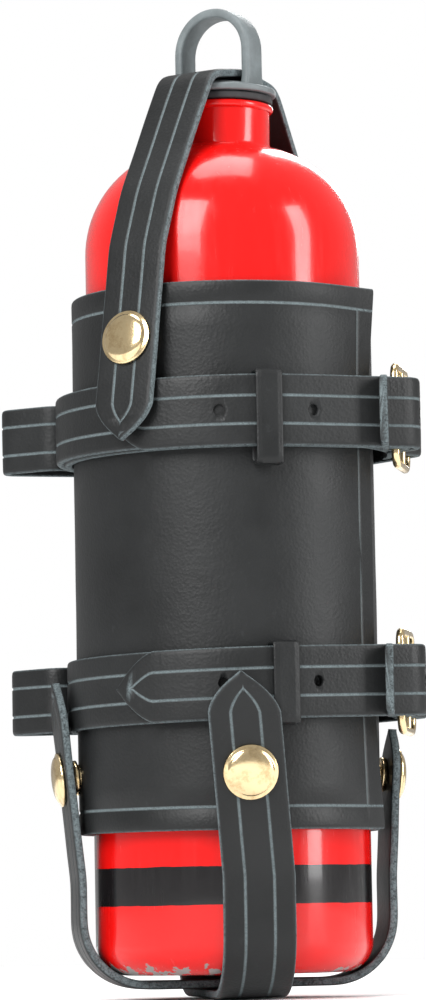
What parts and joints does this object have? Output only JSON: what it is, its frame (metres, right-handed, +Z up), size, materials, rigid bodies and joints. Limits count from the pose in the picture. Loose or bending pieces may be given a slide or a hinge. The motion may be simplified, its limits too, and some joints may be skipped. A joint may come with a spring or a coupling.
{
  "type": "bottle holster harness",
  "caption": "Black leather wrap holster with buckled belts, cradle straps and hanger loops, carrying a red screw-top metal bottle under a snap-down top strap.",
  "frame": {"origin": "on the bottle's axis, at the underside of the lowest cradle strap", "axes": "+Z up along the bottle; -Y the front cradle strap, with the hanger loops on the -X side and the buckles on the +X side"},
  "size_m": [0.1236, 0.1144, 0.303],
  "materials": {
    "black_leather": "satin",
    "red_paint": "gloss",
    "stopper_plastic": "matte",
    "gasket_rubber": "matte",
    "brass": "polished"
  },
  "bodies": {
    "harness": {"bottle_shell": "red_paint", "top_strap": "black_leather", "cradle_front_strap": "black_leather", "cradle_side_strap": "black_leather", "cradle_front_snap_stud": "brass", "cradle_left_snap_stud": "brass", "cradle_back_snap_stud": "brass", "cradle_right_snap_stud": "brass", "top_strap_front_snap_stud": "brass", "top_strap_back_snap_stud": "brass", "wrap_sleeve": "black_leather", "upper_belt": "black_leather", "upper_hanger_loop": "black_leather", "upper_buckle_frame": "brass", "upper_loop_rivet_back": "brass", "upper_loop_rivet_side": "brass", "lower_belt": "black_leather", "lower_hanger_loop": "black_leather", "lower_buckle_frame": "brass", "lower_loop_rivet_back": "brass", "lower_loop_rivet_side": "brass"},
    "front_cradle_flap": {"cradle_front_end": "black_leather", "cradle_front_snap_cap": "brass", "cradle_front_snap_socket": "brass"},
    "left_cradle_flap": {"cradle_left_end": "black_leather", "cradle_left_snap_cap": "brass", "cradle_left_snap_socket": "brass"},
    "back_cradle_flap": {"cradle_back_end": "black_leather", "cradle_back_snap_cap": "brass", "cradle_back_snap_socket": "brass"},
    "right_cradle_flap": {"cradle_right_end": "black_leather", "cradle_right_snap_cap": "brass", "cradle_right_snap_socket": "brass"},
    "front_top_flap": {"top_strap_front_end": "black_leather", "top_strap_front_snap_cap": "brass", "top_strap_front_snap_socket": "brass"},
    "back_top_flap": {"top_strap_back_end": "black_leather", "top_strap_back_snap_cap": "brass", "top_strap_back_snap_socket": "brass"},
    "stopper": {"stopper": "stopper_plastic", "stopper_gasket": "gasket_rubber"},
    "upper_keeper": {"upper_keeper": "black_leather"},
    "upper_prong": {"upper_buckle_prong": "brass"},
    "lower_keeper": {"lower_keeper": "black_leather"},
    "lower_prong": {"lower_buckle_prong": "brass"}
  },
  "joints": [
    {"name": "front_cradle_flap_fold", "type": "hinge", "parent": "harness", "child": "front_cradle_flap", "pos_m": [0, -0.0487, 0.036], "axis": [1, 0, 0], "range_deg": [0, 70]},
    {"name": "left_cradle_flap_fold", "type": "hinge", "parent": "harness", "child": "left_cradle_flap", "pos_m": [-0.0487, 0, 0.036], "axis": [0, -1, 0], "range_deg": [0, 70]},
    {"name": "back_cradle_flap_fold", "type": "hinge", "parent": "harness", "child": "back_cradle_flap", "pos_m": [0, 0.0487, 0.036], "axis": [-1, 0, 0], "range_deg": [0, 70]},
    {"name": "right_cradle_flap_fold", "type": "hinge", "parent": "harness", "child": "right_cradle_flap", "pos_m": [0.0487, 0, 0.036], "axis": [0, 1, 0], "range_deg": [0, 70]},
    {"name": "front_top_flap_fold", "type": "hinge", "parent": "harness", "child": "front_top_flap", "pos_m": [-0.03213, -0.03631, 0.224], "axis": [-0.749, 0.6626, 0], "range_deg": [0, 60]},
    {"name": "back_top_flap_fold", "type": "hinge", "parent": "harness", "child": "back_top_flap", "pos_m": [0.03127, 0.03534, 0.224], "axis": [0.749, -0.6626, 0], "range_deg": [0, 60]},
    {"name": "stopper_turn", "type": "hinge", "parent": "harness", "child": "stopper", "pos_m": [0, 0, 0.2754], "axis": [0, 0, 1], "range_deg": [-6, 6]},
    {"name": "upper_keeper_slip", "type": "hinge", "parent": "harness", "child": "upper_keeper", "pos_m": [0, 0, 0.173], "axis": [0, 0, 1], "range_deg": [-2.5, 2.5]},
    {"name": "upper_prong_tilt", "type": "hinge", "parent": "harness", "child": "upper_prong", "pos_m": [0.04641, -0.03348, 0.173], "axis": [0, 0, 1], "range_deg": [-6, 6]},
    {"name": "lower_keeper_slip", "type": "hinge", "parent": "harness", "child": "lower_keeper", "pos_m": [0, 0, 0.0925], "axis": [0, 0, 1], "range_deg": [0, 2.5]},
    {"name": "lower_prong_tilt", "type": "hinge", "parent": "harness", "child": "lower_prong", "pos_m": [0.04641, -0.03348, 0.0925], "axis": [0, 0, 1], "range_deg": [-6, 6]}
  ]
}
